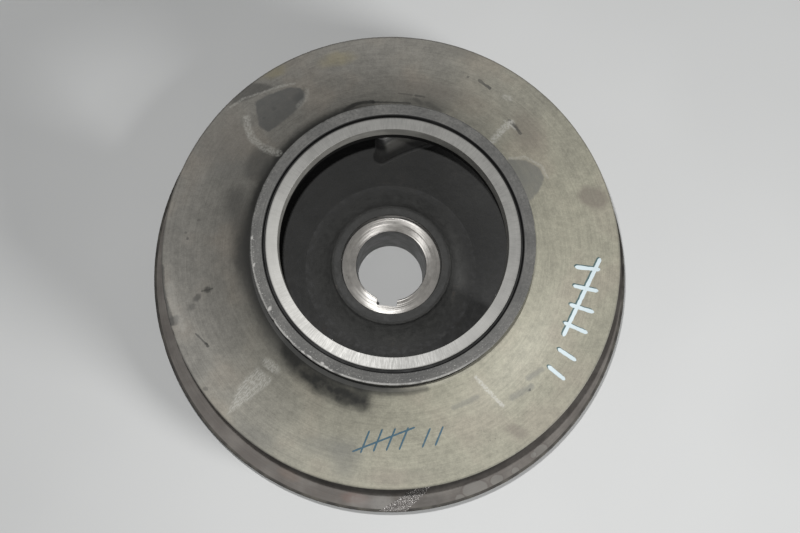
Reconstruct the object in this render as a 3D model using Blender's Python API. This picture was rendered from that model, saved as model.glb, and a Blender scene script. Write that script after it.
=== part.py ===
"""Closed pump impeller with three vanes and a renewable wear ring, in metres, +Z up.

The origin is the centre of the hub's rear face, on which the impeller rests. The shaft runs along +Z
and the suction eye is at the top. Angles round the shaft are measured clockwise from +Y, as seen
from the suction side. The casting is split at its natural parts: hub, back shroud, vanes, front
shroud and neck. The wear ring is a separate ring seated round the neck.
"""
import math

import bmesh
import bpy

# Hub, bore and key slot
BORE_RADIUS = 0.024
BORE_CHAMFER = 0.0005
HUB_LENGTH = 0.058
SEAT_RADIUS = 0.034
BOSS_TOP = 0.066
BOSS_RADIUS = 0.041
BOSS_ROUND = 0.0025
BOSS_FILLET = 0.0185
REAR_HUB_RADIUS = 0.038
REAR_FILLET = 0.006
FLANGE_RADIUS = 0.060
KEY_WIDTH = 0.014
KEY_DEPTH = 0.0038
KEY_ANGLE = 186.5

# Back shroud, the larger one
BACK_RADIUS = 0.1675
BACK_REAR = 0.027
BACK_FRONT = 0.0355
BACK_RISE = 0.0085
BACK_FLAT_RADIUS = 0.150

# Front shroud
FRONT_RADIUS = 0.1475
FRONT_RIM_TOP = 0.1035
FRONT_RIM_BOTTOM = 0.096
NECK_PLANE = 0.129
SHOULDER_RADIUS = 0.088
THROAT_RADIUS = 0.0705
OUTER_SLOPE_RISE = 0.004
INNER_SLOPE_RISE = 0.0025

# Neck and wear ring
EYE_TOP = 0.1535
EYE_RADIUS = 0.0686
EYE_STRAIGHT = 0.012
NECK_FACE_RADIUS = 0.0757
NECK_RADIUS = 0.0772
GROOVE_DEPTH = 0.004
RING_INNER_RADIUS = 0.0775
RING_OUTER_RADIUS = 0.0847
RING_TOP = 0.1532

# Vanes
VANE_COUNT = 3
VANE_ANGLE = -5.0
VANE_WRAP = 57.0
VANE_THICKNESS = 0.009
NOSE_TOP_RADIUS = 0.0735
NOSE_FOOT_RADIUS = 0.082
VANE_END_RADIUS = 0.147
INLET_SLOPE = 0.62

# Fine detail
CLEARANCE = 0.0003
TIP_CLEARANCE = 0.00045
EDGE_BREAK = 0.0006
SIDES = 72
CURVE_STEPS = 8
BACK_STEPS = 6
FILLET_STEPS = 7
ROUND_STEPS = 3
VANE_STATIONS = 18
VANE_ROWS = 6
NOSE_STEPS = 4
SHARP_ANGLE = math.radians(28)


def clear_scene():
    for item in list(bpy.data.objects):
        bpy.data.objects.remove(item, do_unlink=True)


def make_material(name, colour, roughness, metallic):
    material = bpy.data.materials.new(name)
    material.use_nodes = True
    shader = material.node_tree.nodes["Principled BSDF"]
    shader.inputs["Base Color"].default_value = (*colour, 1.0)
    shader.inputs["Roughness"].default_value = roughness
    shader.inputs["Metallic"].default_value = metallic
    return material


def add_object(name, mesh, material):
    item = bpy.data.objects.new(name, mesh)
    bpy.context.scene.collection.objects.link(item)
    mesh.materials.append(material)
    mesh.shade_smooth()
    mesh.set_sharp_from_angle(angle=SHARP_ANGLE)
    return item


def arc(centre, radius, start, end, steps):
    """Points of a round stretch in the (radius, height) plane, ends included."""
    points = []
    for step in range(steps + 1):
        angle = math.radians(start + (end - start) * step / steps)
        points.append((centre[0] + radius * math.cos(angle), centre[1] + radius * math.sin(angle)))
    return points


def turned(name, outline, material):
    """Ring-shaped solid made by turning a closed (radius, height) outline about the shaft."""
    bm = bmesh.new()
    verts = [bm.verts.new((radius, 0.0, height)) for radius, height in outline]
    edges = [bm.edges.new((verts[i - 1], verts[i])) for i in range(len(verts))]
    bmesh.ops.spin(bm, geom=verts + edges, cent=(0, 0, 0), axis=(0, 0, 1), angle=math.tau,
                   steps=SIDES, use_merge=True, use_duplicate=False)
    bmesh.ops.remove_doubles(bm, verts=bm.verts, dist=1e-6)
    bmesh.ops.recalc_face_normals(bm, faces=bm.faces)
    mesh = bpy.data.meshes.new(name)
    bm.to_mesh(mesh)
    bm.free()
    return add_object(name, mesh, material)


def back_face(radius):
    """Height of the back shroud's inner face, which rises towards the hub."""
    inward = max(0.0, (BACK_FLAT_RADIUS - radius) / (BACK_FLAT_RADIUS - FLANGE_RADIUS))
    return BACK_FRONT + BACK_RISE * inward ** 2


def front_inner(radius):
    """Height of the front shroud's inner face, which sweeps up into the eye."""
    inward = (FRONT_RADIUS - radius) / (FRONT_RADIUS - THROAT_RADIUS)
    sweep = NECK_PLANE - FRONT_RIM_BOTTOM - INNER_SLOPE_RISE
    return FRONT_RIM_BOTTOM + INNER_SLOPE_RISE * inward + sweep * inward ** 3


def front_outer(radius):
    """Height of the front shroud's outer face, a shallow cone that curves up to the ring's shoulder."""
    inward = (FRONT_RADIUS - radius) / (FRONT_RADIUS - SHOULDER_RADIUS)
    sweep = NECK_PLANE - FRONT_RIM_TOP - OUTER_SLOPE_RISE
    return FRONT_RIM_TOP + OUTER_SLOPE_RISE * inward + sweep * inward ** 3


def spread(start, end, steps):
    return [start + (end - start) * step / steps for step in range(steps + 1)]


def make_key_cutter(material):
    """Block that cuts the key slot along the whole bore."""
    angle = math.radians(KEY_ANGLE)
    outward = (math.sin(angle), math.cos(angle))
    across = (outward[1], -outward[0])
    inner_end = BORE_RADIUS / 2
    outer_end = BORE_RADIUS + KEY_DEPTH
    bm = bmesh.new()
    floor = []
    for along, side in ((inner_end, -1), (inner_end, 1), (outer_end, 1), (outer_end, -1)):
        x = outward[0] * along + across[0] * side * KEY_WIDTH / 2
        y = outward[1] * along + across[1] * side * KEY_WIDTH / 2
        floor.append(bm.verts.new((x, y, -BORE_RADIUS)))
    face = bm.faces.new(floor)
    top = bmesh.ops.extrude_face_region(bm, geom=[face])
    raised = [item for item in top["geom"] if isinstance(item, bmesh.types.BMVert)]
    bmesh.ops.translate(bm, verts=raised, vec=(0, 0, HUB_LENGTH + 2 * BORE_RADIUS))
    bmesh.ops.recalc_face_normals(bm, faces=bm.faces)
    mesh = bpy.data.meshes.new("key_cutter")
    bm.to_mesh(mesh)
    bm.free()
    cutter = add_object("key_cutter", mesh, material)
    cutter.hide_render = True
    cutter.display_type = "WIRE"
    return cutter


def make_hub(material):
    """Bored hub with a recessed nut seat, a cast boss round it and a flange inside the back shroud."""
    flange_top = back_face(FLANGE_RADIUS)
    fillet_centre = (BOSS_RADIUS + BOSS_FILLET, flange_top + BOSS_FILLET)
    fillet = arc(fillet_centre, BOSS_FILLET, 180, 270, FILLET_STEPS)
    outline = [(BORE_RADIUS, BORE_CHAMFER), (BORE_RADIUS + BORE_CHAMFER, 0.0)]
    outline += [(REAR_HUB_RADIUS - BORE_CHAMFER, 0.0), (REAR_HUB_RADIUS, BORE_CHAMFER)]
    rear_centre = (REAR_HUB_RADIUS + REAR_FILLET, BACK_REAR - REAR_FILLET)
    outline += arc(rear_centre, REAR_FILLET, 180, 90, ROUND_STEPS)
    outline += [(FLANGE_RADIUS, BACK_REAR), (FLANGE_RADIUS, flange_top)]
    outline += list(reversed(fillet))
    boss_centre = (BOSS_RADIUS - BOSS_ROUND, BOSS_TOP - BOSS_ROUND)
    outline += arc(boss_centre, BOSS_ROUND, 0, 90, ROUND_STEPS)
    outline += [(SEAT_RADIUS, BOSS_TOP), (SEAT_RADIUS, HUB_LENGTH)]
    outline += [(BORE_RADIUS + BORE_CHAMFER, HUB_LENGTH), (BORE_RADIUS, HUB_LENGTH - BORE_CHAMFER)]
    hub = turned("hub", outline, material)
    slot = hub.modifiers.new("key_slot", "BOOLEAN")
    slot.operation = "DIFFERENCE"
    slot.solver = "EXACT"
    slot.object = make_key_cutter(material)
    return hub


def make_back_shroud(material):
    """Flat disc behind the vanes, wider than the front shroud, so that its rim shows from the front."""
    bore = FLANGE_RADIUS + CLEARANCE
    outline = [(bore, BACK_REAR), (BACK_RADIUS - EDGE_BREAK, BACK_REAR)]
    outline += [(BACK_RADIUS, BACK_REAR + EDGE_BREAK), (BACK_RADIUS, BACK_FRONT - EDGE_BREAK)]
    outline += [(BACK_RADIUS - EDGE_BREAK, BACK_FRONT)]
    for radius in spread(BACK_FLAT_RADIUS, bore, BACK_STEPS):
        outline.append((radius, back_face(radius)))
    return turned("back_shroud", outline, material)


def make_front_shroud(material):
    """Dished ring in front of the vanes, with a flat shoulder that carries the neck and wear ring."""
    outline = [(FRONT_RADIUS, FRONT_RIM_BOTTOM), (FRONT_RADIUS, FRONT_RIM_TOP - EDGE_BREAK)]
    outline += [(FRONT_RADIUS - EDGE_BREAK, FRONT_RIM_TOP)]
    for radius in spread(FRONT_RADIUS, SHOULDER_RADIUS, CURVE_STEPS)[1:]:
        outline.append((radius, front_outer(radius)))
    for radius in spread(THROAT_RADIUS, FRONT_RADIUS, CURVE_STEPS)[:-1]:
        outline.append((radius, front_inner(radius)))
    return turned("front_shroud", outline, material)


def make_neck(material):
    """Inlet neck with a turned face, a short straight eye and a groove beside the wear ring."""
    straight_end = EYE_TOP - EYE_STRAIGHT
    flare_middle = ((EYE_RADIUS * 3 + THROAT_RADIUS) / 4, (straight_end + NECK_PLANE) / 2)
    outline = [(THROAT_RADIUS, NECK_PLANE), (NECK_RADIUS, NECK_PLANE)]
    outline += [(NECK_RADIUS, EYE_TOP - GROOVE_DEPTH), (NECK_FACE_RADIUS, EYE_TOP - GROOVE_DEPTH)]
    outline += [(NECK_FACE_RADIUS, EYE_TOP - EDGE_BREAK), (NECK_FACE_RADIUS - EDGE_BREAK, EYE_TOP)]
    outline += [(EYE_RADIUS + EDGE_BREAK, EYE_TOP), (EYE_RADIUS, EYE_TOP - EDGE_BREAK)]
    outline += [(EYE_RADIUS, straight_end), flare_middle]
    return turned("neck", outline, material)


def make_wear_ring(material):
    """Plain ring seated on the shoulder round the neck."""
    outline = [(RING_INNER_RADIUS, NECK_PLANE), (RING_OUTER_RADIUS, NECK_PLANE)]
    outline += [(RING_OUTER_RADIUS, RING_TOP - EDGE_BREAK), (RING_OUTER_RADIUS - EDGE_BREAK, RING_TOP)]
    outline += [(RING_INNER_RADIUS + EDGE_BREAK, RING_TOP), (RING_INNER_RADIUS, RING_TOP - EDGE_BREAK)]
    return turned("wear_ring", outline, material)


def vane_radius(along, nose_radius):
    """Radius of the vane's middle line: it leaves the eye gently and steepens towards the rim."""
    eased = INLET_SLOPE * along + (1 - INLET_SLOPE) * along ** 2
    return nose_radius + (VANE_END_RADIUS - nose_radius) * eased


def vane_loop(height_share, start_angle):
    """Closed loop of points round the vane at one share of its height, from foot to tip."""
    nose_radius = NOSE_FOOT_RADIUS + (NOSE_TOP_RADIUS - NOSE_FOOT_RADIUS) * height_share
    middle = []
    for station in range(VANE_STATIONS + 1):
        along = station / VANE_STATIONS
        angle = math.radians(start_angle + VANE_WRAP * along)
        radius = vane_radius(along, nose_radius)
        middle.append((radius * math.sin(angle), radius * math.cos(angle)))
    half = VANE_THICKNESS / 2
    outer, inner = [], []
    for index, (x, y) in enumerate(middle):
        before = middle[max(index - 1, 0)]
        after = middle[min(index + 1, VANE_STATIONS)]
        length = math.dist(before, after)
        side = ((after[1] - before[1]) / length, -(after[0] - before[0]) / length)
        outer.append((x - side[0] * half, y - side[1] * half))
        inner.append((x + side[0] * half, y + side[1] * half))
    outer[-1] = at_radius(outer[-2], outer[-1], VANE_END_RADIUS)
    inner[-1] = at_radius(inner[-2], inner[-1], VANE_END_RADIUS)
    heading = math.atan2(middle[1][1] - middle[0][1], middle[1][0] - middle[0][0])
    nose = []
    for step in range(1, NOSE_STEPS):
        turn = heading - math.pi / 2 - math.pi * step / NOSE_STEPS
        nose.append((middle[0][0] + half * math.cos(turn), middle[0][1] + half * math.sin(turn)))
    return nose + outer + list(reversed(inner))


def at_radius(start, end, radius):
    """The point at the given radius on the line from start through end."""
    run = (end[0] - start[0], end[1] - start[1])
    square = run[0] ** 2 + run[1] ** 2
    inward = start[0] * run[0] + start[1] * run[1]
    short = math.hypot(*start) ** 2 - radius ** 2
    share = (math.sqrt(inward ** 2 - square * short) - inward) / square
    return start[0] + run[0] * share, start[1] + run[1] * share


def make_vane(name, start_angle, material):
    """Curved vane between the shrouds, with a round nose that leans back from the eye."""
    bm = bmesh.new()
    rows = []
    for row in range(VANE_ROWS + 1):
        share = row / VANE_ROWS
        ring = []
        for x, y in vane_loop(share, start_angle):
            radius = math.hypot(x, y)
            foot = back_face(radius) + CLEARANCE
            tip = front_inner(max(radius, THROAT_RADIUS)) - TIP_CLEARANCE
            ring.append(bm.verts.new((x, y, foot + (tip - foot) * share)))
        rows.append(ring)
    count = len(rows[0])
    for lower, upper in zip(rows, rows[1:]):
        for index in range(count):
            bm.faces.new((lower[index - 1], lower[index], upper[index], upper[index - 1]))
    bm.faces.new(rows[0])
    bm.faces.new(rows[-1])
    bmesh.ops.triangulate(bm, faces=bm.faces)
    bmesh.ops.recalc_face_normals(bm, faces=bm.faces)
    mesh = bpy.data.meshes.new(name)
    bm.to_mesh(mesh)
    bm.free()
    return add_object(name, mesh, material)


def main():
    clear_scene()
    cast_hub = make_material("cast_hub", (0.13, 0.13, 0.12), 0.6, 0.7)
    cast_back = make_material("cast_back", (0.16, 0.145, 0.13), 0.6, 0.6)
    cast_vane = make_material("cast_vane", (0.10, 0.10, 0.095), 0.65, 0.6)
    turned_front = make_material("turned_front", (0.30, 0.285, 0.22), 0.5, 0.6)
    bright_neck = make_material("bright_neck", (0.62, 0.61, 0.57), 0.3, 0.95)
    grey_ring = make_material("grey_ring", (0.27, 0.27, 0.25), 0.45, 0.8)
    make_hub(cast_hub)
    make_back_shroud(cast_back)
    for index in range(VANE_COUNT):
        start_angle = VANE_ANGLE + index * 360.0 / VANE_COUNT
        make_vane("vane_%d" % (index + 1), start_angle, cast_vane)
    make_front_shroud(turned_front)
    make_neck(bright_neck)
    make_wear_ring(grey_ring)


main()
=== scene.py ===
"""Looks of a closed pump impeller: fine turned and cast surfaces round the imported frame.

Lengths are in metres, except in materials, where they are in millimetres. Angles round the shaft are
in degrees clockwise from +Y, as seen from the suction side. Stains and scrapes are placed by their
real position on the part, x to the right and y up.
"""
import math

import bmesh
import bpy
from mathutils import Matrix, Vector, noise


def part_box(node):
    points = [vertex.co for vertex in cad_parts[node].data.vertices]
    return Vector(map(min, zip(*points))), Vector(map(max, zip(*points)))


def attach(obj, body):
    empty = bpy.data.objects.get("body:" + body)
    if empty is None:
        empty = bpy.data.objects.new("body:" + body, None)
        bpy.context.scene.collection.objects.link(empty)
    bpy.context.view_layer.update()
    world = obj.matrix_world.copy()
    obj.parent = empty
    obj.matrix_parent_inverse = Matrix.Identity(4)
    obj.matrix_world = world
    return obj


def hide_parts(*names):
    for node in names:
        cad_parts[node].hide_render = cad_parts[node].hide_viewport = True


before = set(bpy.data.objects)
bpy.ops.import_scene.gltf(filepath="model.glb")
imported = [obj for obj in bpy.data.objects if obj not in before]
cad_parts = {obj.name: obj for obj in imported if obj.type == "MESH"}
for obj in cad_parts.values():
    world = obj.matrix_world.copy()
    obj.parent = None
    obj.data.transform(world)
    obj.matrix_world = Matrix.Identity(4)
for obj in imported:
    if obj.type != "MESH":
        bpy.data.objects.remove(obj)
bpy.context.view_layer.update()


def radii(node):
    """Smallest and largest distance of a node's points from the shaft's axis."""
    spans = [math.hypot(v.co.x, v.co.y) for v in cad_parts[node].data.vertices]
    return min(spans), max(spans)


# Sizes read from the frame
BACK_RADIUS = radii("back_shroud")[1]
FLANGE_RADIUS = radii("hub")[1]
FRONT_RADIUS = radii("front_shroud")[1]
THROAT_RADIUS = radii("front_shroud")[0]
RING_RADII = radii("wear_ring")
NECK_RADII = radii("neck")
NECK_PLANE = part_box("neck")[0].z
EYE_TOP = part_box("neck")[1].z
RING_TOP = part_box("wear_ring")[1].z
BACK_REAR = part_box("back_shroud")[0].z
FRONT_RIM_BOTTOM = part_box("front_shroud")[0].z
BOSS_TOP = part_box("hub")[1].z

# Height above which the hub and the back shroud are as cast
CAST_START = BACK_REAR + 0.004

# Sizes of the hub
BORE_RADIUS = 0.024
BORE_CHAMFER = 0.0003
SEAT_DEPTH = 0.008
SEAT_HEIGHT = BOSS_TOP - SEAT_DEPTH
SEAT_RADIUS = 0.034
SEAT_CORNER = 0.0002
BOSS_RADIUS = 0.041
BOSS_FLAT_RADIUS = 0.0375
BOSS_ROUND = 0.0025
BOSS_FILLET = 0.0185
REAR_HUB_RADIUS = 0.038
REAR_FILLET = 0.006
KEY_WIDTH = 0.014
KEY_DEPTH = 0.0038
KEY_ANGLE = 186.5
KEY_CORNER = 0.0006

# Sizes of the shrouds and the neck
BACK_FRONT = 0.0355
BACK_RISE = 0.0085
BACK_FLAT_RADIUS = 0.150
FRONT_RIM_TOP = 0.1035
SHOULDER_RADIUS = 0.088
OUTER_SLOPE_RISE = 0.004
INNER_SLOPE_RISE = 0.0025
EYE_STRAIGHT = 0.0115
FLARE_STEPS = 12
FLARE_EASE = 0.6
NECK_FACE_RADIUS = 0.0757
GROOVE_DEPTH = 0.004
EDGE_BREAK = 0.0006

# Sizes of the vanes
VANE_COUNT = 3
VANE_ANGLE = -5.0
VANE_WRAP = 57.0
VANE_THICKNESS = 0.009
NOSE_TOP_RADIUS = 0.0735
NOSE_FOOT_RADIUS = 0.082
VANE_END_RADIUS = 0.1472
INLET_SLOPE = 0.62
FOOT_FILLET = 0.003
TIP_FILLET = 0.004
SEAT_SINK = 0.0004

# The scar on the rim band: its radii, and at its start the angle of its middle and half its width,
# in degrees, each with how much it grows towards the rim
SCAR_RADII = (0.1495, BACK_RADIUS - 0.0007)
SCAR_MIDDLE = (170.5, 9.2)
SCAR_HALF = (2.5, 0.75)

# Unevenness of each surface: the size of its waves and how high they are
HUB_SKIN = (0.006, 0.00022)
BACK_SKIN = (0.007, 0.0002)
BACK_RIM = (0.004, 0.00012)
FRONT_SKIN = (0.008, 0.0003)
FRONT_RIM = (0.003, 0.00015)
RING_EDGE = (0.0025, 0.0004)
VANE_SKIN = (0.009, 0.0002)

# Fineness of the meshes
SIDES = 288
ARC_STEPS = 4
VANE_STATIONS = 60
NOSE_STEPS = 12
FILLET_ROWS = 8
MIDDLE_ROWS = 15
SCAR_ROWS = 40
SCAR_COLUMNS = 34
SHARP_ANGLE = math.radians(32)

# Camera, on the photo's frame of 800 x 533 pixels
CAMERA_LENS = 43.63
CAMERA_PLACE = Vector((-0.0095, -0.1023, 0.7178))
CAMERA_TILT = 8.88
CAMERA_TURN = -8.68


# Meshes


def arc(centre, radius, start, end, steps=ARC_STEPS):
    """Points of a round stretch in the (radius, height) plane, ends included."""
    points = []
    for step in range(steps + 1):
        angle = math.radians(start + (end - start) * step / steps)
        points.append((centre[0] + radius * math.cos(angle), centre[1] + radius * math.sin(angle)))
    return points


def spread(start, end, steps):
    return [start + (end - start) * step / steps for step in range(steps + 1)]


def flat_run(height, start, end, steps):
    """Points at one height, from one radius to another."""
    return [(radius, height) for radius in spread(start, end, steps)]


def upright_run(radius, start, end, steps):
    """Points at one radius, from one height to another."""
    return [(radius, height) for height in spread(start, end, steps)]


def clamped(value):
    return min(1.0, max(0.0, value))


def back_face(radius):
    """Height of the back shroud's inner face, which rises towards the hub."""
    inward = max(0.0, (BACK_FLAT_RADIUS - radius) / (BACK_FLAT_RADIUS - 0.060))
    return BACK_FRONT + BACK_RISE * inward ** 2


def front_inner(radius):
    """Height of the front shroud's inner face, which sweeps up into the eye."""
    inward = (FRONT_RADIUS - radius) / (FRONT_RADIUS - THROAT_RADIUS)
    sweep = NECK_PLANE - FRONT_RIM_BOTTOM - INNER_SLOPE_RISE
    return FRONT_RIM_BOTTOM + INNER_SLOPE_RISE * inward + sweep * inward ** 3


def front_outer(radius):
    """Height of the front shroud's outer face, a shallow cone that curves up to the shoulder."""
    inward = (FRONT_RADIUS - radius) / (FRONT_RADIUS - SHOULDER_RADIUS)
    sweep = NECK_PLANE - FRONT_RIM_TOP - OUTER_SLOPE_RISE
    return FRONT_RIM_TOP + OUTER_SLOPE_RISE * inward + sweep * inward ** 3


def smooth(mesh):
    mesh.shade_smooth()
    mesh.set_sharp_from_angle(angle=SHARP_ANGLE)


def finish_mesh(name, bm, materials):
    """Turns a bmesh into a smooth-shaded piece in the scene."""
    bmesh.ops.recalc_face_normals(bm, faces=bm.faces)
    mesh = bpy.data.meshes.new(name)
    bm.to_mesh(mesh)
    bm.free()
    piece = bpy.data.objects.new(name, mesh)
    bpy.context.scene.collection.objects.link(piece)
    for material in materials:
        mesh.materials.append(material)
    smooth(mesh)
    return piece


def lathe(name, stretches, roughen=None):
    """Closed ring turned about the shaft. Each stretch is (material, points), and the last joins the first.

    roughen(point) gives how far a point moves, so that edges and cast skins aren't perfect.
    """
    materials = []
    points, zones = [], []
    for material, run in stretches:
        if material not in materials:
            materials.append(material)
        for point in run:
            points.append(point)
            zones.append(materials.index(material))
    bm = bmesh.new()
    rings = []
    for radius, height in points:
        ring = []
        for side in range(SIDES):
            turn = math.tau * side / SIDES
            point = Vector((radius * math.sin(turn), radius * math.cos(turn), height))
            if roughen:
                point += roughen(point)
            ring.append(bm.verts.new(point))
        rings.append(ring)
    for index, ring in enumerate(rings):
        following = rings[(index + 1) % len(rings)]
        for side in range(SIDES):
            after = (side + 1) % SIDES
            face = bm.faces.new((ring[side], ring[after], following[after], following[side]))
            face.material_index = zones[index]
    return finish_mesh(name, bm, materials)


def outward(point):
    return Vector((point.x, point.y, 0)).normalized()


def ripple(point, size, amount):
    """Small seeded unevenness, from 0 to the amount."""
    return (noise.noise(point / size) * 0.5 + 0.5) * amount


def extruded(bm, faces):
    """Extrudes faces in place, and gives the new vertices."""
    region = bmesh.ops.extrude_face_region(bm, geom=faces)
    return [item for item in region["geom"] if isinstance(item, bmesh.types.BMVert)]


def cut_key_slot(hub, material):
    """Cuts the key slot along the whole bore and applies the cut."""
    angle = math.radians(KEY_ANGLE)
    along = Vector((math.sin(angle), math.cos(angle), 0))
    across = Vector((along.y, -along.x, 0))
    half = across * (KEY_WIDTH / 2)
    narrow = across * (KEY_WIDTH / 2 - KEY_CORNER)
    start = along * (BORE_RADIUS / 2)
    deep = along * (BORE_RADIUS + KEY_DEPTH - KEY_CORNER)
    end = along * (BORE_RADIUS + KEY_DEPTH)
    corners = [start - half, start + half, deep + half, end + narrow, end - narrow, deep - half]
    bm = bmesh.new()
    below = Vector((0, 0, -BORE_RADIUS))
    face = bm.faces.new([bm.verts.new(corner + below) for corner in corners])
    bmesh.ops.translate(bm, verts=extruded(bm, [face]), vec=(0, 0, BOSS_TOP + 2 * BORE_RADIUS))
    cutter = finish_mesh("key_cutter", bm, [material])
    cut = hub.modifiers.new("key_slot", "BOOLEAN")
    cut.operation = "DIFFERENCE"
    cut.solver = "EXACT"
    cut.material_mode = "TRANSFER"
    cut.object = cutter
    depsgraph = bpy.context.evaluated_depsgraph_get()
    mesh = bpy.data.meshes.new_from_object(hub.evaluated_get(depsgraph))
    hub.modifiers.clear()
    hub.data = mesh
    bpy.data.objects.remove(cutter, do_unlink=True)
    smooth(mesh)


def make_hub(look):
    """Bored hub with a bright recessed nut seat and a cast boss that flares into the back shroud."""
    flange_top = back_face(FLANGE_RADIUS)
    rear_centre = (REAR_HUB_RADIUS + REAR_FILLET, BACK_REAR - REAR_FILLET)
    rear = [(BORE_RADIUS + BORE_CHAMFER, 0.0)]
    rear += arc((REAR_HUB_RADIUS - BORE_CHAMFER, BORE_CHAMFER), BORE_CHAMFER, -90, 0)
    rear += arc(rear_centre, REAR_FILLET, 180, 90, 8)
    rear += [(FLANGE_RADIUS, BACK_REAR)]
    fillet_centre = (BOSS_RADIUS + BOSS_FILLET, flange_top + BOSS_FILLET)
    boss_centre = (BOSS_RADIUS - BOSS_ROUND, BOSS_TOP - BOSS_ROUND)
    cast = [(FLANGE_RADIUS, flange_top)]
    cast += arc(fillet_centre, BOSS_FILLET, 270, 180, 18)
    cast += arc(boss_centre, BOSS_ROUND, 0, 90, 6)
    cast += flat_run(BOSS_TOP, BOSS_FLAT_RADIUS, SEAT_RADIUS + 0.0008, 4)
    wall = [(SEAT_RADIUS + 0.0003, BOSS_TOP), (SEAT_RADIUS, BOSS_TOP - 0.0004)]
    wall += upright_run(SEAT_RADIUS, BOSS_TOP - 0.002, SEAT_HEIGHT + 2 * SEAT_CORNER, 3)
    wall += arc((SEAT_RADIUS - SEAT_CORNER, SEAT_HEIGHT + SEAT_CORNER), SEAT_CORNER, 0, -90, 3)
    seat_start = SEAT_RADIUS - 2 * SEAT_CORNER
    seat = flat_run(SEAT_HEIGHT, seat_start, BORE_RADIUS + BORE_CHAMFER, 6)
    bore = [(BORE_RADIUS, SEAT_HEIGHT - BORE_CHAMFER)]
    bore += upright_run(BORE_RADIUS, SEAT_HEIGHT - 0.006, 0.006, 8)
    bore += [(BORE_RADIUS, BORE_CHAMFER)]
    stretches = [(look["rear"], rear), (look["cast"], cast), (look["recess"], wall)]
    stretches += [(look["seat"], seat[:-1]), (look["chamfer"], seat[-1:]), (look["bore"], bore[:-1])]
    stretches += [(look["chamfer"], bore[-1:])]

    def roughen(point):
        if point.z < CAST_START:
            return Vector((0, 0, 0))
        radius = math.hypot(point.x, point.y)
        share = clamped((FLANGE_RADIUS - 0.0005 - radius) / 0.004)
        share *= clamped((radius - SEAT_RADIUS - 0.0005) / 0.002)
        size, amount = HUB_SKIN
        return Vector((0, 0, min(0.0, noise.noise(point / size) - 0.5) * amount * share))

    hub = lathe("hub_body", stretches, roughen)
    cut_key_slot(hub, look["keyway"])
    return hub


def make_back_shroud(look):
    """Disc behind the vanes, with a turned rim band and a cast inner face."""
    flange_top = back_face(FLANGE_RADIUS)
    rear = [(FLANGE_RADIUS, BACK_REAR)]
    rear += flat_run(BACK_REAR, 0.075, BACK_RADIUS - 0.002, 6)
    side = arc((BACK_RADIUS - EDGE_BREAK, BACK_REAR + EDGE_BREAK), EDGE_BREAK, -90, 0, 3)
    side += upright_run(BACK_RADIUS, BACK_REAR + 0.0025, BACK_FRONT - 0.002, 3)
    side += arc((BACK_RADIUS - EDGE_BREAK, BACK_FRONT - EDGE_BREAK), EDGE_BREAK, 0, 90, 3)
    band = flat_run(BACK_FRONT, BACK_RADIUS - 0.002, BACK_FLAT_RADIUS, 12)
    cast = [(radius, back_face(radius)) for radius in spread(BACK_FLAT_RADIUS - 0.002, 0.062, 40)]
    cast += [(FLANGE_RADIUS, flange_top)]
    stretches = [(look["rear"], rear), (look["side"], side), (look["band"], band)]
    stretches += [(look["cast"], cast)]

    def roughen(point):
        radius = math.hypot(point.x, point.y)
        shift = Vector((0, 0, 0))
        if radius > BACK_RADIUS - 0.0025:
            shift -= outward(point) * (nick_depth(point, "back") + ripple(point, *BACK_RIM))
        elif 0.064 < radius < BACK_FLAT_RADIUS and point.z > CAST_START:
            shift.z -= ripple(point, *BACK_SKIN)
        return shift

    return lathe("back_shroud_body", stretches, roughen)


def make_front_shroud(look):
    """Dished ring with the large turned face and a flat shoulder under the wear ring."""
    edge_top = FRONT_RIM_TOP - EDGE_BREAK
    side = upright_run(FRONT_RADIUS, FRONT_RIM_BOTTOM + 0.0004, edge_top, 5)
    face = arc((FRONT_RADIUS - EDGE_BREAK, edge_top), EDGE_BREAK, 15, 75, 3)
    face += [(r, front_outer(r)) for r in spread(FRONT_RADIUS - 0.001, SHOULDER_RADIUS + 0.0004, 60)]
    face += [(SHOULDER_RADIUS, NECK_PLANE), (SHOULDER_RADIUS - 0.0006, NECK_PLANE)]
    shoulder = [(RING_RADII[1] + 0.0005, NECK_PLANE), (RING_RADII[0], NECK_PLANE)]
    shoulder += [(THROAT_RADIUS, NECK_PLANE)]
    cast = [(r, front_inner(r)) for r in spread(THROAT_RADIUS, FRONT_RADIUS - 0.0004, 48)[1:]]
    stretches = [(look["side"], side), (look["face"], face), (look["shoulder"], shoulder)]
    stretches += [(look["cast"], cast)]

    def roughen(point):
        radius = math.hypot(point.x, point.y)
        shift = Vector((0, 0, 0))
        if radius > FRONT_RADIUS - 0.0007:
            shift -= outward(point) * (nick_depth(point, "front") + ripple(point, *FRONT_RIM))
        elif radius > THROAT_RADIUS + 0.003 and point.z < front_outer(radius) - 0.003:
            shift.z += ripple(point, *FRONT_SKIN)
        return shift

    return lathe("front_shroud_body", stretches, roughen)


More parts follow.
